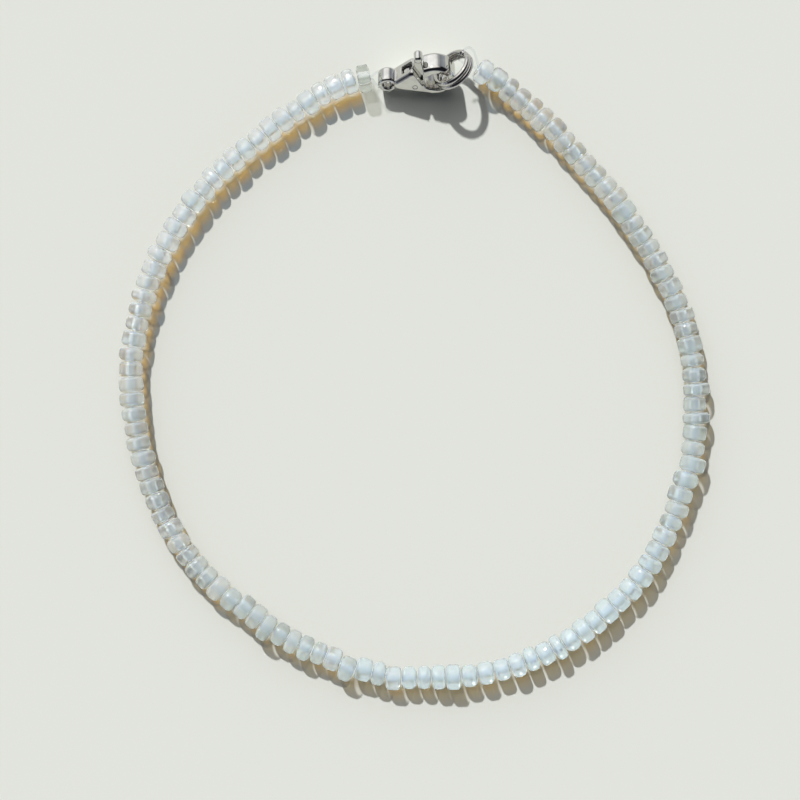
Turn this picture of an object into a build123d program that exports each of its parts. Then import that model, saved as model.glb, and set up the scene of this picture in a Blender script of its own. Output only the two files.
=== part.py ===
from build123d import *
import os

# A beaded anklet lying on a flat surface, in millimetres. +Z is up and the surface is Z = 0.
# A loop of small glass beads on a clear thread runs from a split ring round to a lobster clasp,
# whose hook holds the ring, so that the anklet is closed.

# ---------------------------------------------------------------- driving dimensions

# Glass beads
BEAD_DIAMETER = 3.0
BEAD_LENGTH = 1.84
BEAD_PITCH = 1.92
BEAD_ROUNDING = 0.62
BEAD_RUNS = 8
JOIN_DIAMETER = 0.9
JOIN_LENGTH = 1.0
JOIN_SEAM_TURN = 50
CLEAR_DIAMETER = 3.5
CLEAR_LENGTH = 1.6
CLEAR_ROUNDING = 0.4
END_BEAD_HOLE = 1.2

# Thread
THREAD_DIAMETER = 0.3
THREAD_TO_METAL = 0.06
THREAD_IN_CLEAR_BEAD = 0.35
THREAD_IN_FIRST_BEAD = 0.1

# Clasp body: a teardrop plate, from its neck at X = 0 to the end of its hook
CLASP_THICKNESS = 2.8
CLASP_ROUNDING = 0.5
NECK_AT = 0.55
NECK_RADIUS = 0.85
SHOULDER_AT = (2.9, 0.4)
SHOULDER_RADIUS = 1.75
BOW_AT = 5.0
BOW_RADIUS = 2.55
HOOK_HOLE_AT = (5.32, -0.1)
HOOK_HOLE_RADIUS = 1.5
HOOK_HOLE_NECK_AT = (4.72, -0.15)
HOOK_HOLE_NECK_RADIUS = 1.25
HOLE_ROUNDING = 0.18
EYE_AT = -0.98
EYE_RADIUS = 1.25
EYE_HOLE_RADIUS = 0.6
EYE_THICKNESS = 2.1
EYE_ROUNDING = 0.26
NOSE_AT = 3.88
OVER_BODY = 3.0
GATE_OUTLINE = [
    (2.6, OVER_BODY),
    (2.6, 2.0),
    (3.25, -0.35),
    (3.7, -0.35),
    (NOSE_AT, 0.4),
    (NOSE_AT, OVER_BODY),
]
PIVOT = (2.4, -0.55)
SLOT_WIDTH = 1.1
SLOT_OUTLINE = [
    (1.92, -0.9),
    (3.4, -0.75),
    (3.4, OVER_BODY),
    (-0.42, OVER_BODY),
    (1.78, 0.23),
    (1.33, -0.12),
]
POCKET_RADIUS = 2.01
POCKET_FROM = 100
POCKET_TO = 158
PIN_RADIUS = 0.3
PIN_TO_CHEEK = 0.01
PIN_TO_LEVER = 0.04
PIN_RECESS = 0.02

# Clasp lever
LEVER_THICKNESS = 0.98
LEVER_HEEL_AT = (2.15, 0.6)
LEVER_HEEL_RADIUS = 0.5
LEVER_FRONT_AT = (3.29, 0.9)
LEVER_FRONT_RADIUS = 0.5
LEVER_TIP_AT = (3.4, 3.0)
LEVER_TIP_RADIUS = 0.42
LEVER_ROUNDING = 0.12
DRUM_RADIUS = 1.95
DRUM_FROM = 85
DRUM_TO = 131
DRUM_THICKNESS = 0.9
BOSS_RADIUS = 0.46
BOSS_CLEARANCE = 0.08
KNOB_AT = (3.5, 3.5)
KNOB_RADIUS = 0.55
KNOB_WIDTH = 1.5
KNOB_ROUNDING = 0.3

# Split ring: two turns of round wire, side by side, with a step from one to the other
WIRE_DIAMETER = 0.66
TURN_RADIUS = 2.43
TURN_PITCH = 0.72
STEP_HALF_ANGLE = 13
WIRE_END_GAP = 2

# Where the clasp and the ring lie: the turn in plan, the rise along the piece, and its lean
CLASP_PLACE = (-2.26, 36.32, 1.97)
CLASP_TURN = 5.5
CLASP_RISE = 9.0
CLASP_LEAN = 60.0
RING_PLACE = (4.91, 37.07, 3.69)
RING_TURN = 50.9
RING_LEAN = 38.2

# The thread's route through the beads, from the first bead at the split ring to the clear bead
STRAND_ROUTE = [
    (8.8, 37.1, 2.35),
    (10.8, 35.85, 1.75),
    (12.6, 34.5, 1.56),
    (14.95, 32.4, 1.5),
    (17.2, 30.2, 1.5),
    (21.4, 25.6, 1.5),
    (25.0, 21.6, 1.5),
    (28.5, 16.7, 1.5),
    (31.3, 11.7, 1.5),
    (33.6, 6.6, 1.5),
    (34.9, 1.7, 1.5),
    (35.3, -3.5, 1.5),
    (35.2, -8.0, 1.5),
    (34.3, -13.2, 1.5),
    (32.7, -18.4, 1.5),
    (30.2, -23.5, 1.5),
    (26.9, -28.0, 1.5),
    (22.7, -31.9, 1.5),
    (18.1, -35.0, 1.5),
    (13.0, -37.2, 1.5),
    (7.0, -38.5, 1.5),
    (1.0, -38.8, 1.5),
    (-4.8, -38.2, 1.5),
    (-10.3, -36.4, 1.5),
    (-15.6, -34.0, 1.5),
    (-20.4, -30.7, 1.5),
    (-25.2, -26.9, 1.5),
    (-29.0, -22.5, 1.5),
    (-32.0, -17.0, 1.5),
    (-34.0, -11.0, 1.5),
    (-35.1, -5.0, 1.5),
    (-35.4, 0.8, 1.5),
    (-34.4, 7.0, 1.5),
    (-32.4, 13.0, 1.5),
    (-29.2, 18.6, 1.5),
    (-24.9, 24.0, 1.5),
    (-20.0, 28.3, 1.5),
    (-15.0, 32.2, 1.5),
    (-12.4, 33.9, 1.5),
    (-9.7, 35.4, 1.54),
    (-8.05, 36.0, 1.6),
]
CLEAR_PLACE = (-6.2, 36.3, 1.76)
CLEAR_TURN = 11.0

os.makedirs("parts", exist_ok=True)


def save(piece, name):
    """Name a finished piece and write it as its own file."""
    piece.label = name
    export_step(piece, f"parts/{name}.step")


def leaning_plane(place, turn, rise, lean):
    """A plane whose X runs along turn in plan and climbs by rise, and which leans about that X."""
    along = Vector(1, 0, 0).rotate(Axis.Y, -rise).rotate(Axis.Z, turn)
    normal = Vector(0, 0, 1).rotate(Axis.X, lean).rotate(Axis.Y, -rise).rotate(Axis.Z, turn)
    return Plane(origin=place, x_dir=along, z_dir=normal)


def round_wedge(corner, radius, start, end):
    """A wedge of a circle about corner, between two angles in degrees."""
    with BuildSketch() as wedge:
        with BuildLine():
            arc = CenterArc(corner, radius, start, end - start)
            Polyline(arc @ 1, corner, arc @ 0)
        make_face()
    return wedge.sketch


CLASP = leaning_plane(CLASP_PLACE, CLASP_TURN, CLASP_RISE, CLASP_LEAN)
RING = leaning_plane(RING_PLACE, RING_TURN, 0, RING_LEAN - 90)

# ---------------------------------------------------------------- clasp body

with BuildPart() as eyelet:
    with BuildSketch(CLASP.offset(-EYE_THICKNESS / 2)):
        with Locations((EYE_AT, 0)):
            Circle(EYE_RADIUS)
            Circle(EYE_HOLE_RADIUS, mode=Mode.SUBTRACT)
    extrude(amount=EYE_THICKNESS)
    fillet(eyelet.edges().filter_by(GeomType.CIRCLE), EYE_ROUNDING)

with BuildPart() as clasp_body:
    with BuildSketch(CLASP.offset(-CLASP_THICKNESS / 2)):
        with Locations((NECK_AT, 0)):
            Circle(NECK_RADIUS)
        with Locations(SHOULDER_AT):
            Circle(SHOULDER_RADIUS)
        with Locations((BOW_AT, 0)):
            Circle(BOW_RADIUS)
        make_hull()
    extrude(amount=CLASP_THICKNESS)
    plate_faces = clasp_body.faces().filter_by(CLASP)
    fillet(plate_faces.edges(), CLASP_ROUNDING)
    # The round hole of the hook, a little longer towards the lever
    with BuildSketch(CLASP.offset(-CLASP_THICKNESS / 2)):
        with Locations(HOOK_HOLE_AT):
            Circle(HOOK_HOLE_RADIUS)
        with Locations(HOOK_HOLE_NECK_AT):
            Circle(HOOK_HOLE_NECK_RADIUS)
        make_hull()
    extrude(amount=CLASP_THICKNESS, mode=Mode.SUBTRACT)
    plate_faces = clasp_body.faces().filter_by(CLASP)
    hole_rims = [wire for face in plate_faces for wire in face.inner_wires()]
    fillet([edge for rim in hole_rims for edge in rim.edges()], HOLE_ROUNDING)
    add(eyelet.part)
    # The gate between the cheeks and the nose of the hook
    with BuildSketch(CLASP.offset(-CLASP_THICKNESS)):
        with BuildLine():
            Polyline(GATE_OUTLINE, close=True)
        make_face()
    extrude(amount=2 * CLASP_THICKNESS, mode=Mode.SUBTRACT)
    # The slot that the lever swings in, and its pocket under the roof towards the neck
    with BuildSketch(CLASP.offset(-SLOT_WIDTH / 2)):
        with BuildLine():
            Polyline(SLOT_OUTLINE, close=True)
        make_face()
        add(round_wedge(PIVOT, POCKET_RADIUS, POCKET_FROM, POCKET_TO))
        with Locations(PIVOT):
            Circle(BOSS_RADIUS + BOSS_CLEARANCE)
    extrude(amount=SLOT_WIDTH, mode=Mode.SUBTRACT)
    # The pin's hole through both cheeks
    with BuildSketch(CLASP.offset(-CLASP_THICKNESS)):
        with Locations(PIVOT):
            Circle(PIN_RADIUS + PIN_TO_CHEEK)
    extrude(amount=2 * CLASP_THICKNESS, mode=Mode.SUBTRACT)

save(clasp_body.part, "clasp_body")

# ---------------------------------------------------------------- clasp lever and its pin

with BuildPart() as knob:
    with BuildSketch(CLASP.offset(-KNOB_WIDTH / 2)):
        with Locations(KNOB_AT):
            Circle(KNOB_RADIUS)
    extrude(amount=KNOB_WIDTH)
    fillet(knob.edges().filter_by(GeomType.CIRCLE), KNOB_ROUNDING)

with BuildPart() as clasp_lever:
    with BuildSketch(CLASP.offset(-LEVER_THICKNESS / 2)):
        with Locations(PIVOT):
            Circle(BOSS_RADIUS)
        with Locations(LEVER_HEEL_AT):
            Circle(LEVER_HEEL_RADIUS)
        with Locations(LEVER_FRONT_AT):
            Circle(LEVER_FRONT_RADIUS)
        with Locations(LEVER_TIP_AT):
            Circle(LEVER_TIP_RADIUS)
        make_hull()
    extrude(amount=LEVER_THICKNESS)
    fillet(clasp_lever.faces().filter_by(CLASP).edges(), LEVER_ROUNDING)
    # The round heel that fills the slot behind the lever, and turns into the pocket
    with BuildSketch(CLASP.offset(-DRUM_THICKNESS / 2)):
        add(round_wedge(PIVOT, DRUM_RADIUS, DRUM_FROM, DRUM_TO))
    extrude(amount=DRUM_THICKNESS)
    add(knob.part)
    with BuildSketch(CLASP.offset(-LEVER_THICKNESS)):
        with Locations(PIVOT):
            Circle(PIN_RADIUS + PIN_TO_LEVER)
    extrude(amount=2 * LEVER_THICKNESS, mode=Mode.SUBTRACT)

save(clasp_lever.part, "clasp_lever")

pin_half = CLASP_THICKNESS / 2 - PIN_RECESS
with BuildPart() as clasp_pin:
    with BuildSketch(CLASP.offset(-pin_half)):
        with Locations(PIVOT):
            Circle(PIN_RADIUS)
    extrude(amount=2 * pin_half)

save(clasp_pin.part, "clasp_pin")

# ---------------------------------------------------------------- split ring

turn_angle = 360 - 2 * STEP_HALF_ANGLE - WIRE_END_GAP
with BuildLine(RING.offset(-TURN_PITCH / 2)) as low_turn:
    CenterArc((0, 0), TURN_RADIUS, STEP_HALF_ANGLE + WIRE_END_GAP, turn_angle)
with BuildLine(RING.offset(TURN_PITCH / 2)) as high_turn:
    CenterArc((0, 0), TURN_RADIUS, STEP_HALF_ANGLE, turn_angle)
with BuildLine() as step:
    step_ends = (low_turn.line @ 1, high_turn.line @ 0)
    Spline(step_ends, tangents=(low_turn.line % 1, high_turn.line % 0))

with BuildPart() as split_ring:
    with BuildSketch(Plane(low_turn.line @ 0, z_dir=low_turn.line % 0)):
        Circle(WIRE_DIAMETER / 2)
    sweep(path=Wire([low_turn.edge(), step.edge(), high_turn.edge()]))

save(split_ring.part, "split_ring")

# ---------------------------------------------------------------- beads

with BuildPart() as bead:
    Cylinder(BEAD_DIAMETER / 2, BEAD_LENGTH)
    fillet(bead.edges().filter_by(GeomType.CIRCLE), BEAD_ROUNDING)

with BuildPart() as join:
    Cylinder(JOIN_DIAMETER / 2, JOIN_LENGTH, rotation=(0, 0, JOIN_SEAM_TURN))
with BuildLine() as strand:
    Spline(STRAND_ROUTE)

strand_length = strand.edge().length
bead_count = round(strand_length / BEAD_PITCH) + 1
bead_step = strand_length / (bead_count - 1)
print(f"strand {strand_length:.1f} mm, {bead_count} beads, {bead_step:.3f} mm apart")


def thread_plane(number):
    """The plane across the thread at bead number's middle, or between two beads at a half."""
    along = number / (bead_count - 1)
    heading = strand.edge() % along
    return Plane(strand.edge() @ along, x_dir=Vector(0, 0, 1).cross(heading), z_dir=heading)


# The first bead's open hole, where the thread leaves it for the split ring
first_bead = thread_plane(0)
first_face = first_bead.origin - first_bead.z_dir * BEAD_LENGTH / 2
with BuildPart() as first_hole:
    with BuildSketch(Plane(first_face, z_dir=first_bead.z_dir)):
        Circle(END_BEAD_HOLE / 2)
    extrude(amount=THREAD_IN_FIRST_BEAD + THREAD_DIAMETER)

# Beads joined along their thread, in runs of equal length
for run in range(BEAD_RUNS):
    first = round(run * bead_count / BEAD_RUNS)
    last = round((run + 1) * bead_count / BEAD_RUNS) - 1
    with BuildPart() as bead_run:
        with Locations([thread_plane(number) for number in range(first, last + 1)]):
            add(bead.part)
        with Locations([thread_plane(number + 0.5) for number in range(first, last)]):
            add(join.part)
        if first == 0:
            add(first_hole.part, mode=Mode.SUBTRACT)
    save(bead_run.part, f"bead_run_{run + 1}")

CLEAR = leaning_plane(CLEAR_PLACE, CLEAR_TURN, 0, 0)
with BuildPart() as clear_bead:
    with BuildSketch(Plane(CLEAR.origin - CLEAR.x_dir * CLEAR_LENGTH / 2, z_dir=CLEAR.x_dir)):
        Circle(CLEAR_DIAMETER / 2)
        Circle(END_BEAD_HOLE / 2, mode=Mode.SUBTRACT)
    extrude(amount=CLEAR_LENGTH)
    outer_rims = clear_bead.edges().filter_by(GeomType.CIRCLE).group_by(SortBy.RADIUS)[-1]
    fillet(outer_rims, CLEAR_ROUNDING)

save(clear_bead.part, "clear_bead")

# ---------------------------------------------------------------- thread loops at the two ends


def thread_loop(plane, start, into, half_width, near_end, far_end, rounding):
    """A loop of thread that leaves a bead's hole at start and passes round a metal piece.

    The plane's origin is the middle of the metal, its X runs along the loop away from the bead,
    and its Y runs across. into is how far the loop's ends reach into the hole, and half_width is
    how far each strand stands from the middle line, from near_end to far_end. rounding is the
    radius of the loop's bends.
    """
    hole = plane.to_local_coords(start)
    inside = hole.X - into
    mouth = hole.X + THREAD_DIAMETER / 2
    apart = THREAD_DIAMETER / 2 + THREAD_TO_METAL / 2
    with BuildLine(plane) as route:
        FilletPolyline(
            (inside, hole.Y + apart), (mouth, hole.Y + apart),
            (near_end, half_width), (far_end, half_width),
            (far_end, -half_width), (near_end, -half_width),
            (mouth, hole.Y - apart), (inside, hole.Y - apart),
            radius=rounding,
        )
    with BuildPart() as loop:
        with BuildSketch(Plane(route.line @ 0, z_dir=route.line % 0)):
            Circle(THREAD_DIAMETER / 2)
        sweep(path=route.wire())
    return loop.part


# Round the eyelet's wall, in at its hole and out past its edge
clear_face = CLEAR.origin + CLEAR.x_dir * CLEAR_LENGTH / 2
eye_middle = CLASP.from_local_coords(Vector(EYE_AT, 0, 0))
to_eye = eye_middle - clear_face
to_eye = to_eye - CLASP.z_dir * to_eye.dot(CLASP.z_dir)
clasp_thread = thread_loop(
    plane=Plane(eye_middle, x_dir=to_eye, z_dir=to_eye.cross(CLASP.z_dir)),
    start=clear_face,
    into=THREAD_IN_CLEAR_BEAD,
    half_width=(EYE_THICKNESS + THREAD_DIAMETER) / 2 + THREAD_TO_METAL,
    near_end=-EYE_RADIUS,
    far_end=-EYE_HOLE_RADIUS + THREAD_DIAMETER / 2 + THREAD_TO_METAL,
    rounding=EYE_ROUNDING + THREAD_DIAMETER / 2 + THREAD_TO_METAL,
)
save(clasp_thread, "clasp_thread")

# Round both turns of the ring, where they pass nearest to the first bead
outward = first_face - RING.origin
outward = outward - RING.z_dir * outward.dot(RING.z_dir)
outward = outward.normalized()
band_middle = RING.origin + outward * TURN_RADIUS
band_corner = Vector(WIRE_DIAMETER / 2, (TURN_PITCH + WIRE_DIAMETER) / 2)
round_band = band_corner.length + THREAD_DIAMETER / 2 + THREAD_TO_METAL
ring_thread = thread_loop(
    plane=Plane(band_middle, x_dir=band_middle - first_face, z_dir=RING.z_dir.cross(outward)),
    start=first_face,
    into=THREAD_IN_FIRST_BEAD,
    half_width=round_band,
    near_end=-round_band / 4,
    far_end=round_band,
    rounding=2 * THREAD_DIAMETER,
)
save(ring_thread, "ring_thread")
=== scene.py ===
"""A beaded anklet on a pale floor: milky glass beads on clear thread, closed by a steel lobster clasp.

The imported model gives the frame. The clasp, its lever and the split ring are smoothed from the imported
solids, and the beads, the thread and the light are made here. Every length is in metres.
"""

import logging
import math
import random
from dataclasses import dataclass, field
from enum import Enum

import bmesh
import bpy
from mathutils import Matrix, Vector
from mathutils.geometry import interpolate_bezier


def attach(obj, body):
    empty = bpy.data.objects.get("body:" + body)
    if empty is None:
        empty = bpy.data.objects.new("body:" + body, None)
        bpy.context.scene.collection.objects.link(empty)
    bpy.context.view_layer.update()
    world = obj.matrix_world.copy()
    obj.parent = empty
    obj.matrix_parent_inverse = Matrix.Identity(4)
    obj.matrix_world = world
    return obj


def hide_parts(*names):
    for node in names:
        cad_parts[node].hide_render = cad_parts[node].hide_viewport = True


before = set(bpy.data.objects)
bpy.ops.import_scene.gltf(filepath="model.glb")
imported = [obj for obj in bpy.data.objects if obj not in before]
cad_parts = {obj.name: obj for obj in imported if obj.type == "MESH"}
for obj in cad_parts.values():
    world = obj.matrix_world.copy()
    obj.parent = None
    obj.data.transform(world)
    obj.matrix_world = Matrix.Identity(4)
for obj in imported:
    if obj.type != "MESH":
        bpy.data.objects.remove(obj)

MM = 0.001
# Places closer than this count as the same
HAIR = 0.01 * MM
Colour = tuple[float, float, float]
WHITE: Colour = (1.0, 1.0, 1.0)
log = logging.getLogger("anklet")


def opaque(colour: Colour) -> tuple[float, float, float, float]:
    """Give a colour the full alpha that a socket asks for."""
    return (*colour, 1.0)


class Body(Enum):
    """The bodies that a piece can ride on."""

    ANKLET = "anklet"
    LEVER = "lever"


class Slot(Enum):
    """The names of the material slots."""

    OPAL = "opal_glass"
    CLEAR = "clear_glass"
    CLASP = "clasp_steel"
    RING = "ring_steel"
    THREAD = "thread"


# ---------------------------------------------------------------- small helpers


def start_fresh() -> None:
    """Leave edit mode and deselect every object."""
    if bpy.context.object is not None and bpy.context.object.mode != "OBJECT":
        bpy.ops.object.mode_set(mode="OBJECT")
    bpy.ops.object.select_all(action="DESELECT")


def take(piece: bpy.types.Object) -> None:
    """Select one object alone and make it active.

    Args:
        piece: The object to work on.
    """
    start_fresh()
    piece.select_set(True)
    bpy.context.view_layer.objects.active = piece


def apply_modifier(piece: bpy.types.Object, kind: str, **values: object) -> None:
    """Add a modifier to a piece, set it up and apply it.

    Args:
        piece: The object to change.
        kind: The modifier's type, such as REMESH.
        **values: The modifier's settings by name.
    """
    take(piece)
    modifier = piece.modifiers.new(kind.lower(), kind)
    for name, value in values.items():
        setattr(modifier, name, value)
    bpy.ops.object.modifier_apply(modifier=modifier.name)


def finish_piece(
    piece: bpy.types.Object,
    name: str,
    material: bpy.types.Material,
    body: Body,
    stands_for: tuple[str, ...] = (),
) -> None:
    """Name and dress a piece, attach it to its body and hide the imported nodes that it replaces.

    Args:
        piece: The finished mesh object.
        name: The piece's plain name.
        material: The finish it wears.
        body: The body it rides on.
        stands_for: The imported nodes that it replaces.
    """
    piece.name = name
    piece.data.name = name
    piece.data.materials.clear()
    piece.data.materials.append(material)
    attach(piece, body.value)
    if stands_for:
        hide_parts(*stands_for)
    log.info("%s: %d faces", name, len(piece.data.polygons))


# ---------------------------------------------------------------- finishes


class Nodes:
    """A material's or a group's node tree, with short ways to add to it."""

    def __init__(self, tree: bpy.types.NodeTree) -> None:
        """Keep the tree.

        Args:
            tree: The node tree to add to.
        """
        self.tree = tree

    def add(self, kind: str, **values: object) -> bpy.types.Node:
        """Add a node and set its properties.

        Args:
            kind: The node's type name without ShaderNode.
            **values: Properties of the node by name.

        Returns:
            The new node.
        """
        node = self.tree.nodes.new("ShaderNode" + kind)
        for name, value in values.items():
            setattr(node, name, value)
        return node

    def link(self, source: bpy.types.NodeSocket, target: bpy.types.NodeSocket) -> None:
        """Join an output to an input."""
        self.tree.links.new(source, target)

    def maths(
        self, operation: str, first: object, second: object = 0.0, third: object = 0.0
    ) -> bpy.types.NodeSocket:
        """Add a Math node.

        Args:
            operation: The operation's name.
            first: A socket or a number.
            second: A socket or a number.
            third: A socket or a number, where the operation takes three.

        Returns:
            The node's output.
        """
        node = self.add("Math", operation=operation)
        for socket, value in zip(node.inputs, (first, second, third)):
            self.feed(value, socket)
        return node.outputs[0]

    def feed(self, value: object, socket: bpy.types.NodeSocket) -> None:
        """Link a socket to an input, or set the input to a plain value."""
        if isinstance(value, bpy.types.NodeSocket):
            self.link(value, socket)
        else:
            socket.default_value = value

    def noise(
        self, scale: float, detail: float = 2.0, stretch: tuple[float, float, float] = (1.0, 1.0, 1.0)
    ) -> bpy.types.NodeSocket:
        """Add a noise pattern on object coordinates.

        Args:
            scale: The pattern's repeats in each metre.
            detail: How many finer layers it has.
            stretch: The scale along each axis.

        Returns:
            The noise value from 0 to 1.
        """
        place = self.add("TexCoord")
        mapping = self.add("Mapping")
        mapping.inputs["Scale"].default_value = stretch
        pattern = self.add("TexNoise")
        pattern.inputs["Scale"].default_value = scale
        pattern.inputs["Detail"].default_value = detail
        self.link(place.outputs["Object"], mapping.inputs["Vector"])
        self.link(mapping.outputs["Vector"], pattern.inputs["Vector"])
        return pattern.outputs["Fac"]

    def ramp(self, value: bpy.types.NodeSocket, stops: list[tuple[float, Colour]]) -> bpy.types.NodeSocket:
        """Turn a value into a colour by a table of stops.

        Args:
            value: The value to look up.
            stops: Pairs of position and colour, in order.

        Returns:
            The colour.
        """
        node = self.add("ValToRGB")
        while len(node.color_ramp.elements) < len(stops):
            node.color_ramp.elements.new(0.5)
        for element, (position, colour) in zip(node.color_ramp.elements, stops):
            element.position = position
            element.color = opaque(colour)
        self.link(value, node.inputs["Fac"])
        return node.outputs["Color"]

    def blend(self, share: object, first: object, second: object, kind: str = "MIX") -> bpy.types.NodeSocket:
        """Blend two colours.

        Args:
            share: How much of the blend shows, as a socket or a number.
            first: The colour beneath.
            second: The colour on top.
            kind: How they blend, such as MULTIPLY.

        Returns:
            The blended colour.
        """
        node = self.add("Mix", data_type="RGBA", blend_type=kind)
        for name, value in (("Factor_Float", share), ("A_Color", first), ("B_Color", second)):
            socket = next(one for one in node.inputs if one.identifier == name)
            self.feed(value, socket)
        return next(one for one in node.outputs if one.identifier == "Result_Color")

    def bump(self, height: bpy.types.NodeSocket, depth: float, strength: float) -> bpy.types.NodeSocket:
        """Turn a height into a normal.

        Args:
            height: The height value.
            depth: The height of 1, in metres.
            strength: The share of the effect.

        Returns:
            The bumped normal.
        """
        node = self.add("Bump")
        node.inputs["Distance"].default_value = depth
        node.inputs["Strength"].default_value = strength
        self.link(height, node.inputs["Height"])
        return node.outputs["Normal"]


def new_material(name: str) -> tuple[bpy.types.Material, Nodes, bpy.types.Node, bpy.types.Node]:
    """Make an empty material with one Principled shader.

    Args:
        name: The material's name.

    Returns:
        The material, its nodes, its shader and its output node.
    """
    material = bpy.data.materials.new(name)
    material.use_nodes = True
    material.node_tree.nodes.clear()
    nodes = Nodes(material.node_tree)
    shader = nodes.add("BsdfPrincipled")
    output = nodes.add("OutputMaterial")
    nodes.link(shader.outputs["BSDF"], output.inputs["Surface"])
    return material, nodes, shader, output


def let_light_through(
    nodes: Nodes,
    shader: bpy.types.Node,
    output: bpy.types.Node,
    share: float,
    tint: object,
) -> None:
    """Let a share of the light pass straight through a glass piece, tinted as it goes.

    Only the lamps' light and the light between dull surfaces goes straight. What shows in the piece and
    through it is still bent by the glass.

    Args:
        nodes: The material's nodes.
        shader: The glass shader.
        output: The material's output.
        share: The share that passes each surface.
        tint: The colour that each surface gives the light, as a socket or a plain colour.
    """
    path = nodes.add("LightPath")
    clear = nodes.add("BsdfTransparent")
    nodes.feed(tint if isinstance(tint, bpy.types.NodeSocket) else opaque(tint), clear.inputs["Color"])
    mix = nodes.add("MixShader")
    straight = nodes.maths("MAXIMUM", path.outputs["Is Shadow Ray"], path.outputs["Is Diffuse Ray"])
    nodes.link(nodes.maths("MULTIPLY", straight, share), mix.inputs["Fac"])
    nodes.link(shader.outputs["BSDF"], mix.inputs[1])
    nodes.link(clear.outputs["BSDF"], mix.inputs[2])
    nodes.link(mix.outputs["Shader"], output.inputs["Surface"])


@dataclass(frozen=True)
class OpalGlass:
    """Milky glass: pale blue where it scatters light back. The amber and grey in its cast shadows are painted
    shadow, a tint on the passing light set by height above the floor.
    """

    clear: Colour = (0.93, 0.985, 1.0)
    milky: Colour = (0.80, 0.93, 1.0)
    # painted shade on the hole's wall and the bead ends, for the dark hole line and the joins between beads
    hole: Colour = (0.74, 0.86, 1.0)
    # tints for light leaving along the hole and at grazing rims, part of the painted shadow
    light_along_hole: Colour = (0.78, 0.73, 0.66)
    painted_rim_shadow: Colour = (0.45, 0.45, 0.48)
    transmission: float = 0.82
    roughness: float = 0.03
    diameter: float = 3.0 * MM

    def material(self) -> bpy.types.Material:
        """Build the material."""
        material, nodes, shader, output = new_material("opal_glass")
        milk = nodes.add("Attribute", attribute_name="milk", attribute_type="GEOMETRY")
        ends = nodes.add("Attribute", attribute_name="end", attribute_type="GEOMETRY")
        cloud = nodes.noise(420.0, 3.0)
        milkiness = nodes.maths("MULTIPLY", milk.outputs["Fac"], 0.8)
        milkiness = nodes.maths("ADD", milkiness, nodes.maths("MULTIPLY", cloud, 0.3))
        skin = nodes.ramp(milkiness, [(0.15, self.clear), (0.85, self.milky)])
        # painted shade: the hole's wall and the bead ends take the darker blue
        colour = nodes.blend(ends.outputs["Fac"], skin, opaque(self.hole))
        nodes.link(colour, shader.inputs["Base Color"])
        rough = nodes.maths("ADD", self.roughness, nodes.maths("MULTIPLY", nodes.noise(900.0), 0.05))
        nodes.link(rough, shader.inputs["Roughness"])
        shader.inputs["Transmission Weight"].default_value = self.transmission
        shader.inputs["IOR"].default_value = 1.5
        shader.inputs["Subsurface Weight"].default_value = 1.0
        shader.inputs["Subsurface Radius"].default_value = (1.0, 0.9, 0.7)
        shader.inputs["Subsurface Scale"].default_value = 2.5 * MM
        nodes.link(nodes.bump(nodes.noise(600.0), 0.04 * MM, 0.6), shader.inputs["Normal"])
        tint = self.light_leaving(nodes, milk.outputs["Fac"], ends.outputs["Fac"])
        let_light_through(nodes, shader, output, 1.0, tint)
        return material

    def light_leaving(
        self, nodes: Nodes, milk: bpy.types.NodeSocket, ends: bpy.types.NodeSocket
    ) -> bpy.types.NodeSocket:
        """Tint the light where it leaves a bead, as painted shadow: clear at the foot, amber higher up and
        grey at the top.

        Args:
            nodes: The material's nodes.
            milk: How milky the bead is.
            ends: 1 on the bead's ends and in its hole.

        Returns:
            The colour that the surface gives the light.
        """
        place = nodes.add("TexCoord")
        height = nodes.add("SeparateXYZ")
        nodes.link(place.outputs["Object"], height.inputs["Vector"])
        share = nodes.maths("DIVIDE", height.outputs["Z"], self.diameter)
        # painted shadow: the tint is set by the height where light leaves the bead, for a bright foot, an
        # amber band and grey further out
        painted_shadow_clear = nodes.ramp(
            share,
            [
                (0.12, (1.0, 0.99, 0.97)),
                (0.19, (0.90, 0.57, 0.12)),
                (0.31, (0.42, 0.26, 0.07)),
                (0.50, (0.11, 0.13, 0.15)),
                (0.70, (0.10, 0.15, 0.20)),
            ],
        )
        painted_shadow_milky = nodes.ramp(
            share,
            [(0.12, (0.97, 0.98, 0.99)), (0.19, (0.32, 0.25, 0.10)), (0.60, (0.17, 0.14, 0.09))],
        )
        painted_shadow_tint = nodes.blend(milk, painted_shadow_clear, painted_shadow_milky)
        # painted rim shade: light leaving at a grazing angle is darkened, for scalloped grey shadow edges
        edge = nodes.add("LayerWeight")
        edge.inputs["Blend"].default_value = 0.5
        rims = nodes.ramp(edge.outputs["Facing"], [(0.5, WHITE), (0.95, self.painted_rim_shadow)])
        leaving = nodes.blend(1.0, painted_shadow_tint, rims, "MULTIPLY")
        leaving = nodes.blend(ends, leaving, opaque(self.light_along_hole))
        side = nodes.add("NewGeometry")
        return nodes.blend(side.outputs["Backfacing"], leaving, opaque(WHITE))


@dataclass(frozen=True)
class ClearGlass:
    """Colourless glass with a bright polish."""

    colour: Colour = (0.96, 0.98, 0.98)
    deeper_colour: Colour = (0.90, 0.95, 0.96)
    light_through: Colour = (0.82, 0.82, 0.79)
    roughness: float = 0.01

    def material(self) -> bpy.types.Material:
        """Build the material."""
        material, nodes, shader, output = new_material("clear_glass")
        nodes.link(
            nodes.ramp(nodes.noise(300.0), [(0.2, self.colour), (0.9, self.deeper_colour)]),
            shader.inputs["Base Color"],
        )
        shader.inputs["Roughness"].default_value = self.roughness
        shader.inputs["Transmission Weight"].default_value = 1.0
        shader.inputs["IOR"].default_value = 1.52
        nodes.link(nodes.bump(nodes.noise(500.0), 0.05 * MM, 0.25), shader.inputs["Normal"])
        let_light_through(nodes, shader, output, 0.95, self.light_through)
        return material


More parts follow.
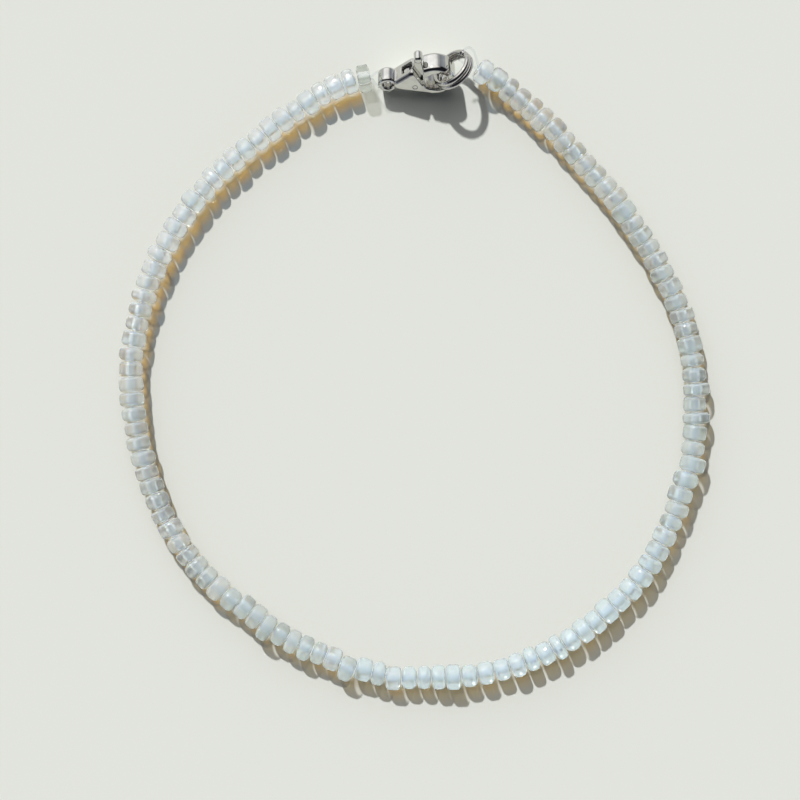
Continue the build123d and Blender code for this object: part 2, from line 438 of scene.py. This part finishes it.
@dataclass(frozen=True)
class ClearThread:
    """Clear nylon thread."""

    colour: Colour = (0.93, 0.94, 0.95)
    deeper_colour: Colour = (0.85, 0.88, 0.91)
    light_through: Colour = (0.93, 0.94, 0.93)

    def material(self) -> bpy.types.Material:
        """Build the material."""
        material, nodes, shader, output = new_material("clear_thread")
        nodes.link(
            nodes.ramp(nodes.noise(2500.0), [(0.2, self.colour), (0.8, self.deeper_colour)]),
            shader.inputs["Base Color"],
        )
        shader.inputs["Roughness"].default_value = 0.06
        shader.inputs["Transmission Weight"].default_value = 1.0
        shader.inputs["IOR"].default_value = 1.12
        let_light_through(nodes, shader, output, 0.9, self.light_through)
        return material


def polish_group() -> bpy.types.NodeTree:
    """Build the group that gives polished steel its fine scratches and its slight waves.

    Returns:
        The group, with inputs Roughness and Depth and outputs Roughness and Normal.
    """
    group = bpy.data.node_groups.new("steel_polish", "ShaderNodeTree")
    for name, value in (("Roughness", 0.12), ("Depth", 0.3)):
        socket = group.interface.new_socket(name, in_out="INPUT", socket_type="NodeSocketFloat")
        socket.default_value = value
    group.interface.new_socket("Roughness", in_out="OUTPUT", socket_type="NodeSocketFloat")
    group.interface.new_socket("Normal", in_out="OUTPUT", socket_type="NodeSocketVector")
    nodes = Nodes(group)
    given = nodes.tree.nodes.new("NodeGroupInput")
    made = nodes.tree.nodes.new("NodeGroupOutput")
    scratches = nodes.noise(6000.0, 2.0, (1.0, 0.12, 0.12))
    smears = nodes.noise(700.0, 3.0)
    waves = nodes.noise(450.0, 1.0)
    uneven = nodes.maths("ADD", nodes.maths("MULTIPLY", scratches, 0.5), nodes.maths("MULTIPLY", smears, 0.9))
    nodes.link(nodes.maths("MULTIPLY", given.outputs["Roughness"], uneven), made.inputs["Roughness"])
    height = nodes.maths("ADD", nodes.maths("MULTIPLY", scratches, 0.06), waves)
    bump = nodes.add("Bump")
    bump.inputs["Distance"].default_value = 0.06 * MM
    nodes.link(given.outputs["Depth"], bump.inputs["Strength"])
    nodes.link(height, bump.inputs["Height"])
    nodes.link(bump.outputs["Normal"], made.inputs["Normal"])
    return group


@dataclass(frozen=True)
class PolishedSteel:
    """Bright stainless steel with fine scratches."""

    name: str
    colour: Colour
    roughness: float
    waves: float

    def material(self, polish: bpy.types.NodeTree) -> bpy.types.Material:
        """Build the material.

        Args:
            polish: The shared polish group.

        Returns:
            The material.
        """
        material, nodes, shader, _ = new_material(self.name)
        group = nodes.add("Group")
        group.node_tree = polish
        group.inputs["Roughness"].default_value = self.roughness
        group.inputs["Depth"].default_value = self.waves
        dull = tuple(0.82 * part for part in self.colour)
        nodes.link(
            nodes.ramp(nodes.noise(550.0, 3.0), [(0.35, dull), (0.6, self.colour)]),
            shader.inputs["Base Color"],
        )
        shader.inputs["Metallic"].default_value = 1.0
        nodes.link(group.outputs["Roughness"], shader.inputs["Roughness"])
        nodes.link(group.outputs["Normal"], shader.inputs["Normal"])
        return material


# ---------------------------------------------------------------- the thread's route

# The route through the beads in millimetres, from the bead at the split ring to the one by the clear bead
STRAND_ROUTE = [
    (8.8, 37.1, 2.35),
    (10.8, 35.85, 1.75),
    (12.6, 34.5, 1.56),
    (14.95, 32.4, 1.5),
    (17.2, 30.2, 1.5),
    (21.4, 25.6, 1.5),
    (25.0, 21.6, 1.5),
    (28.5, 16.7, 1.5),
    (31.3, 11.7, 1.5),
    (33.6, 6.6, 1.5),
    (34.9, 1.7, 1.5),
    (35.3, -3.5, 1.5),
    (35.2, -8.0, 1.5),
    (34.3, -13.2, 1.5),
    (32.7, -18.4, 1.5),
    (30.2, -23.5, 1.5),
    (26.9, -28.0, 1.5),
    (22.7, -31.9, 1.5),
    (18.1, -35.0, 1.5),
    (13.0, -37.2, 1.5),
    (7.0, -38.5, 1.5),
    (1.0, -38.8, 1.5),
    (-4.8, -38.2, 1.5),
    (-10.3, -36.4, 1.5),
    (-15.6, -34.0, 1.5),
    (-20.4, -30.7, 1.5),
    (-25.2, -26.9, 1.5),
    (-29.0, -22.5, 1.5),
    (-32.0, -17.0, 1.5),
    (-34.0, -11.0, 1.5),
    (-35.1, -5.0, 1.5),
    (-35.4, 0.8, 1.5),
    (-34.4, 7.0, 1.5),
    (-32.4, 13.0, 1.5),
    (-29.2, 18.6, 1.5),
    (-24.9, 24.0, 1.5),
    (-20.0, 28.3, 1.5),
    (-15.0, 32.2, 1.5),
    (-12.4, 33.9, 1.5),
    (-9.7, 35.4, 1.54),
    (-8.05, 36.0, 1.6),
]


class ThreadRoute:
    """The line that the thread takes, measured along its length."""

    STEPS = 16

    def __init__(self, points: list[tuple[float, float, float]]) -> None:
        """Round the route through its points and measure it.

        Args:
            points: The points that the thread passes, in millimetres.
        """
        corners = [Vector(point) * MM for point in points]
        self.line: list[Vector] = [corners[0]]
        for number in range(len(corners) - 1):
            start, end = corners[number], corners[number + 1]
            before = corners[max(number - 1, 0)]
            after = corners[min(number + 2, len(corners) - 1)]
            reach = (end - start).length / 3
            leave = start + (end - before).normalized() * reach
            arrive = end - (after - start).normalized() * reach
            self.line += interpolate_bezier(start, leave, arrive, end, self.STEPS + 1)[1:]
        self.along = [0.0]
        for near, far in zip(self.line, self.line[1:]):
            self.along.append(self.along[-1] + (far - near).length)

    @property
    def length(self) -> float:
        """The route's whole length."""
        return self.along[-1]

    def at(self, distance: float) -> tuple[Vector, Vector]:
        """Find a place on the route.

        Args:
            distance: How far along the route it is.

        Returns:
            The place, and the thread's heading there.
        """
        number = 1
        while number < len(self.along) - 1 and self.along[number] < distance:
            number += 1
        near, far = self.line[number - 1], self.line[number]
        share = (distance - self.along[number - 1]) / (self.along[number] - self.along[number - 1])
        return near.lerp(far, share), (far - near).normalized()


# ---------------------------------------------------------------- beads


@dataclass
class BeadMould:
    """One shape of bead, standing with its hole along Z."""

    name: str
    diameter: float
    length: float
    hole: float
    rounding: float
    hole_rounding: float
    segments: int = 28
    rim_steps: int = 6
    hole_rim_steps: int = 2
    hole_reach: float = 0.55
    nearly_flat: float = 0.94
    quite_flat: float = 0.99

    def cast(self) -> bpy.types.Object:
        """Model the bead.

        Returns:
            The bead as a mesh object at the origin.
        """
        start_fresh()
        bpy.ops.mesh.primitive_cylinder_add(
            vertices=self.segments, radius=self.diameter / 2, depth=self.length, location=(0, 0, 0)
        )
        bead = bpy.context.object
        bead.name = self.name
        bpy.ops.object.mode_set(mode="EDIT")
        self.open_hole(bead)
        self.round_rims(bead)
        bpy.ops.mesh.select_all(action="SELECT")
        bpy.ops.mesh.normals_make_consistent(inside=False)
        bpy.ops.object.mode_set(mode="OBJECT")
        bpy.ops.object.shade_smooth()
        self.mark_ends(bead)
        return bead

    def mark_ends(self, bead: bpy.types.Object) -> None:
        """Mark the ends and the hole's wall, where light passes on to the next bead with little tint and
        where the glass takes a darker blue as painted shade.

        Args:
            bead: The finished bead.
        """
        marks = bead.data.attributes.new("end", "FLOAT", "POINT")
        for corner, mark in zip(bead.data.vertices, marks.data):
            in_hole = math.hypot(corner.co.x, corner.co.y) < self.hole_reach * self.diameter / 2
            facing = (abs(corner.normal.z) - self.nearly_flat) / (self.quite_flat - self.nearly_flat)
            mark.value = 1.0 if in_hole else min(max(facing, 0.0), 1.0)

    def open_hole(self, bead: bpy.types.Object) -> None:
        """Cut the hole from end to end.

        Args:
            bead: The bead, in edit mode.
        """
        bpy.ops.mesh.select_mode(type="FACE")
        mesh = bmesh.from_edit_mesh(bead.data)
        for face in mesh.faces:
            face.select_set(abs(face.normal.z) > self.nearly_flat)
        bmesh.update_edit_mesh(bead.data)
        bpy.ops.mesh.inset(thickness=(self.diameter - self.hole) / 2)
        bpy.ops.mesh.delete(type="FACE")
        bpy.ops.mesh.select_mode(type="EDGE")
        mesh = bmesh.from_edit_mesh(bead.data)
        for edge in mesh.edges:
            edge.select_set(edge.is_boundary)
        bmesh.update_edit_mesh(bead.data)
        bpy.ops.mesh.bridge_edge_loops()

    def round_rims(self, bead: bpy.types.Object) -> None:
        """Round the outer rims and the hole's rims.

        Args:
            bead: The bead, in edit mode.
        """
        for outer, rounding, steps in (
            (True, self.rounding, self.rim_steps),
            (False, self.hole_rounding, self.hole_rim_steps),
        ):
            bpy.ops.mesh.select_all(action="DESELECT")
            mesh = bmesh.from_edit_mesh(bead.data)
            for edge in mesh.edges:
                edge.select_set(self.on_rim(edge, outer))
            bmesh.update_edit_mesh(bead.data)
            bpy.ops.mesh.bevel(offset=rounding, segments=steps, profile=0.5)

    def on_rim(self, edge: bmesh.types.BMEdge, outer: bool) -> bool:
        """Say whether an edge lies on a rim of the bead.

        Args:
            edge: The edge to test.
            outer: True for the outer rims, False for the hole's.

        Returns:
            True if the whole edge is on such a rim.
        """
        halfway = (self.diameter + self.hole) / 4
        level = all(abs(abs(corner.co.z) - self.length / 2) < HAIR for corner in edge.verts)
        flat = abs(edge.verts[0].co.z - edge.verts[1].co.z) < HAIR
        reach = [math.hypot(corner.co.x, corner.co.y) for corner in edge.verts]
        same = abs(reach[0] - reach[1]) < HAIR
        return level and flat and same and (reach[0] > halfway) == outer


@dataclass
class OddBead:
    """A bead that stands out in the string, with its own size and place."""

    wider: float = 1.0
    longer: float = 1.0
    aside: float = 0.0


# Beads that stand out, by their number from the split ring; aside is in millimetres, to the loop's outside
ODD_BEADS = {
    26: OddBead(1.12, 0.86, 0.15),
    28: OddBead(1.14, 0.84, 0.15),
    31: OddBead(1.04, 1.0, 0.45),
    46: OddBead(1.0, 0.85, 0.0),
    57: OddBead(1.06, 1.05, 0.35),
    60: OddBead(1.04, 1.05, 0.45),
    66: OddBead(1.14, 1.0, 0.3),
}


@dataclass
class BeadString:
    """The string of milky beads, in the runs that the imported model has."""

    route: ThreadRoute
    bead_count: int = 112
    runs: int = 8
    diameter: float = 3.0 * MM
    length: float = 1.84 * MM
    hole_rounding: float = 0.08 * MM
    gap: float = 0.03 * MM
    sag: float = 0.35 * MM
    held_above: float = 1.65 * MM
    seed: int = 8
    milky_side: Vector = field(default_factory=lambda: Vector((0.6, -0.8, 0.0)))
    milky_reach: float = 90 * MM
    moulds: list[bpy.types.Object] = field(default_factory=list)

    def cast_moulds(self) -> None:
        """Model the three shapes of bead that the string mixes."""
        for name, rounding, hole in (("round", 0.74, 0.9), ("square", 0.5, 0.95), ("drum", 0.62, 0.8)):
            mould = BeadMould(
                f"mould_{name}", self.diameter, self.length, hole * MM, rounding * MM, self.hole_rounding
            )
            self.moulds.append(mould.cast())

    def build(self, material: bpy.types.Material) -> None:
        """Thread the beads and dress them.

        Args:
            material: The milky glass.
        """
        self.cast_moulds()
        chance = random.Random(self.seed)
        odd = [ODD_BEADS.get(number, OddBead()) for number in range(self.bead_count)]
        lengths = [self.length * chance.uniform(0.9, 1.12) * one.longer for one in odd]
        widths = [self.diameter * chance.gauss(1.0, 0.035) * one.wider for one in odd]
        threaded = sum(lengths) - (lengths[0] + lengths[-1]) / 2
        spare = (self.route.length - threaded) / (self.bead_count - 1)
        places = []
        along = 0.0
        for number in range(self.bead_count):
            if number:
                along += (lengths[number - 1] + lengths[number]) / 2 + spare
            places.append(along)
        for run in range(self.runs):
            first = round(run * self.bead_count / self.runs)
            last = round((run + 1) * self.bead_count / self.runs)
            beads = []
            for number in range(first, last):
                length = lengths[number] + min(spare, 0.0) - self.gap
                beads.append(self.thread_bead(chance, odd[number], places[number], length, widths[number]))
            take(beads[0])
            for bead in beads:
                bead.select_set(True)
            bpy.ops.object.join()
            stands_for = (f"bead_run_{run + 1}",)
            finish_piece(
                bpy.context.object, f"beads_{run + 1}", material, Body.ANKLET, stands_for
            )
        for mould in self.moulds:
            bpy.data.objects.remove(mould)

    def thread_bead(
        self, chance: random.Random, odd: OddBead, along: float, length: float, width: float
    ) -> bpy.types.Object:
        """Put one bead on the thread.

        Args:
            chance: The source of the small differences between beads.
            odd: How the bead stands out, if it does.
            along: Where its middle is on the route.
            length: Its length along the thread.
            width: Its diameter.

        Returns:
            The bead, with its place in its mesh.
        """
        mould = chance.choice(self.moulds)
        place, heading = self.route.at(along)
        side = heading.cross(Vector((0, 0, 1))).normalized()
        lean = Vector((0, 0, 1)).cross(heading) * chance.gauss(0.0, 0.035)
        rise = Vector((0, 0, chance.gauss(0.0, 0.02)))
        axis = (heading + lean + rise).normalized()
        slack = chance.gauss(0.0, 0.07 * MM)
        bead = bpy.data.objects.new("bead", mould.data.copy())
        bpy.context.scene.collection.objects.link(bead)
        slant = chance.uniform(0.0, 0.09)
        for corner in bead.data.vertices:
            corner.co.z *= 1 + slant * corner.co.x / (self.diameter / 2)
        spin = Matrix.Rotation(chance.uniform(0, 2 * math.pi), 4, "Z")
        wide = width / self.diameter
        size = Matrix.Diagonal((wide, wide * chance.uniform(0.97, 1.0), length / self.length, 1))
        turn = axis.to_track_quat("Z", "Y").to_matrix().to_4x4()
        bead.data.transform(turn @ size @ spin)
        lowest = min(corner.co.z for corner in bead.data.vertices)
        lift = max(-lowest, place.z - self.sag)
        if place.z > self.held_above:
            lift = place.z
        outside = -side if side.dot(place) < 0 else side
        middle = Vector((place.x, place.y, lift)) + outside * (slack + odd.aside * MM)
        bead.data.transform(Matrix.Translation(middle))
        milk = bead.data.attributes.new("milk", "FLOAT", "POINT")
        share = 0.5 + self.milky_side.dot(place) / self.milky_reach + chance.uniform(-0.25, 0.25)
        for value in milk.data:
            value.value = min(max(share, 0.0), 1.0)
        return bead


# ---------------------------------------------------------------- the clear bead and the thread


@dataclass
class ClearBead:
    """The clear glass bead between the string and the clasp."""

    place: Vector = field(default_factory=lambda: Vector((-6.2, 36.3, 1.76)) * MM)
    turn: float = 11.0
    diameter: float = 3.5 * MM
    length: float = 1.6 * MM
    hole: float = 1.2 * MM
    rounding: float = 0.42 * MM
    hole_rounding: float = 0.12 * MM
    segments: int = 40

    def build(self, material: bpy.types.Material) -> None:
        """Model the bead and dress it.

        Args:
            material: The clear glass.
        """
        mould = BeadMould(
            "clear",
            self.diameter,
            self.length,
            self.hole,
            self.rounding,
            self.hole_rounding,
            segments=self.segments,
        )
        bead = mould.cast()
        lay = Matrix.Rotation(math.radians(90), 4, "Y")
        turn = Matrix.Rotation(math.radians(self.turn), 4, "Z")
        bead.data.transform(Matrix.Translation(self.place) @ turn @ lay)
        finish_piece(bead, "clear_glass_bead", material, Body.ANKLET, ("clear_bead",))


@dataclass
class Thread:
    """The clear thread inside the beads."""

    route: ThreadRoute
    diameter: float = 0.3 * MM
    step: float = 1.0 * MM
    sides: int = 10

    def build(self, material: bpy.types.Material) -> None:
        """Draw the thread along the route and dress it.

        Args:
            material: The clear nylon.
        """
        start_fresh()
        bpy.ops.curve.primitive_nurbs_path_add(location=(0, 0, 0))
        thread = bpy.context.object
        thread.data.splines.clear()
        count = int(self.route.length / self.step)
        spline = thread.data.splines.new("POLY")
        spline.points.add(count)
        for number, point in enumerate(spline.points):
            place, _ = self.route.at(self.route.length * number / count)
            point.co = (*place, 1.0)
        thread.data.bevel_depth = self.diameter / 2
        thread.data.bevel_resolution = (self.sides - 4) // 2
        thread.data.use_fill_caps = True
        take(thread)
        bpy.ops.object.convert(target="MESH")
        bpy.ops.object.shade_smooth()
        finish_piece(bpy.context.object, "bead_thread", material, Body.ANKLET)


# ---------------------------------------------------------------- steel pieces


@dataclass
class CastSteel:
    """A steel piece with its edges softened as casting and polishing leave them."""

    node: str
    name: str
    slot: Slot
    body: Body
    voxel: float
    softening: int
    merge: float = 0.001 * MM

    def build(self, material: bpy.types.Material) -> None:
        """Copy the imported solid, soften it and dress it.

        Args:
            material: The polished steel.
        """
        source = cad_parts[self.node]
        piece = source.copy()
        piece.data = source.data.copy()
        piece.parent = None
        piece.matrix_world = source.matrix_world
        bpy.context.scene.collection.objects.link(piece)
        take(piece)
        bpy.ops.object.mode_set(mode="EDIT")
        bpy.ops.mesh.select_all(action="SELECT")
        bpy.ops.mesh.remove_doubles(threshold=self.merge)
        bpy.ops.object.mode_set(mode="OBJECT")
        apply_modifier(piece, "REMESH", mode="VOXEL", voxel_size=self.voxel)
        apply_modifier(piece, "SMOOTH", factor=0.5, iterations=self.softening)
        take(piece)
        bpy.ops.object.shade_smooth()
        finish_piece(piece, self.name, material, self.body, (self.node,))


# ---------------------------------------------------------------- stage


@dataclass
class Stage:
    """The floor, the light and the camera."""

    floor_colour: Colour = (0.70, 0.725, 0.685)
    floor_size: float = 4.0
    sun_turn: float = 22.0
    sun_height: float = 40.5
    sun_strength: float = 3.6
    sun_softness: float = 2.0
    sun_colour: Colour = (1.0, 0.985, 0.955)
    sky_strength: float = 1.1
    camera_place: Vector = field(default_factory=lambda: Vector((-1.694, -3.953, 231.5)) * MM)
    lens: float = 82.5

    def build(self) -> None:
        """Make the floor, the lamps, the sky and the camera."""
        self.make_floor()
        self.make_sun()
        self.make_sky()
        self.make_camera()

    def make_floor(self) -> None:
        """Lay a plain pale floor."""
        start_fresh()
        bpy.ops.mesh.primitive_plane_add(size=self.floor_size, location=(0, 0, 0))
        floor = bpy.context.object
        floor.name = "floor"
        material, _, shader, _ = new_material("pale_floor")
        shader.inputs["Base Color"].default_value = opaque(self.floor_colour)
        shader.inputs["Roughness"].default_value = 0.9
        shader.inputs["Specular IOR Level"].default_value = 0.1
        floor.data.materials.append(material)

    def make_sun(self) -> None:
        """Hang the main lamp, low behind the clasp and a little to its left."""
        start_fresh()
        bpy.ops.object.light_add(type="SUN", location=(0, 0, 1))
        lamp = bpy.context.object
        lamp.name = "main_lamp"
        lamp.data.energy = self.sun_strength
        lamp.data.angle = math.radians(self.sun_softness)
        lamp.data.color = self.sun_colour
        lamp.rotation_euler = self.sun_heading.to_track_quat("-Z", "Y").to_euler()

    @property
    def sun_heading(self) -> Vector:
        """The way that the main lamp's light goes."""
        turn = math.radians(self.sun_turn)
        height = math.radians(self.sun_height)
        level = Vector((math.sin(turn), -math.cos(turn), 0)) * math.cos(height)
        return level - Vector((0, 0, math.sin(height)))

    def make_sky(self) -> None:
        """Surround the scene with soft light, brightest round the main lamp and dim elsewhere."""
        world = bpy.data.worlds.new("studio")
        bpy.context.scene.world = world
        world.use_nodes = True
        world.node_tree.nodes.clear()
        nodes = Nodes(world.node_tree)
        place = nodes.add("TexCoord")
        toward = nodes.add("VectorMath", operation="DOT_PRODUCT")
        nodes.link(place.outputs["Generated"], toward.inputs[0])
        toward.inputs[1].default_value = -self.sun_heading
        round_lamp = nodes.ramp(
            nodes.maths("MULTIPLY_ADD", toward.outputs["Value"], 0.5, 0.5),
            [(0.84, (0.0, 0.0, 0.0)), (0.89, (0.35, 0.35, 0.34)), (0.94, (1.1, 1.09, 1.07))],
        )
        height = nodes.add("SeparateXYZ")
        nodes.link(place.outputs["Generated"], height.inputs["Vector"])
        walls = nodes.ramp(
            height.outputs["Z"],
            [(0.0, (0.44, 0.47, 0.53)), (0.22, (0.30, 0.32, 0.36)), (0.42, (0.015, 0.015, 0.02))],
        )
        both = nodes.add("VectorMath", operation="ADD")
        nodes.link(round_lamp, both.inputs[0])
        nodes.link(walls, both.inputs[1])
        background = nodes.add("Background")
        output = nodes.add("OutputWorld")
        nodes.link(both.outputs["Vector"], background.inputs["Color"])
        background.inputs["Strength"].default_value = self.sky_strength
        nodes.link(background.outputs["Background"], output.inputs["Surface"])

    def make_camera(self) -> None:
        """Hang the camera over the anklet, looking straight down."""
        start_fresh()
        bpy.ops.object.camera_add(location=self.camera_place, rotation=(0, 0, 0))
        camera = bpy.context.object
        camera.name = "camera"
        camera.data.lens = self.lens
        camera.data.clip_start = 0.01
        bpy.context.scene.camera = camera


def main() -> None:
    """Build the anklet and its stage."""
    logging.basicConfig(level=logging.INFO, format="%(message)s")
    bpy.context.scene.view_settings.view_transform = "Standard"
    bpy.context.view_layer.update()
    polish = polish_group()
    clasp_finish = PolishedSteel("clasp_steel", colour=(0.64, 0.63, 0.60), roughness=0.07, waves=0.3)
    ring_finish = PolishedSteel("ring_steel", colour=(0.60, 0.58, 0.56), roughness=0.06, waves=0.1)
    clasp_steel = clasp_finish.material(polish)
    ring_steel = ring_finish.material(polish)
    nylon = ClearThread().material()
    route = ThreadRoute(STRAND_ROUTE)
    log.info("thread route: %.1f mm", route.length / MM)

    BeadString(route).build(OpalGlass().material())
    ClearBead().build(ClearGlass().material())
    Thread(route).build(nylon)
    CastSteel("clasp_body", "clasp_casting", Slot.CLASP, Body.ANKLET, 0.06 * MM, 12).build(clasp_steel)
    CastSteel("clasp_lever", "clasp_thumb_lever", Slot.CLASP, Body.LEVER, 0.05 * MM, 9).build(clasp_steel)
    CastSteel("clasp_pin", "clasp_pivot_pin", Slot.CLASP, Body.ANKLET, 0.04 * MM, 2).build(clasp_steel)
    CastSteel("split_ring", "split_ring_wire", Slot.RING, Body.ANKLET, 0.04 * MM, 4).build(ring_steel)
    for node in ("clasp_thread", "ring_thread"):
        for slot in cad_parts[node].material_slots:
            slot.material = nylon
    Stage().build()


if __name__ == "__main__":
    main()
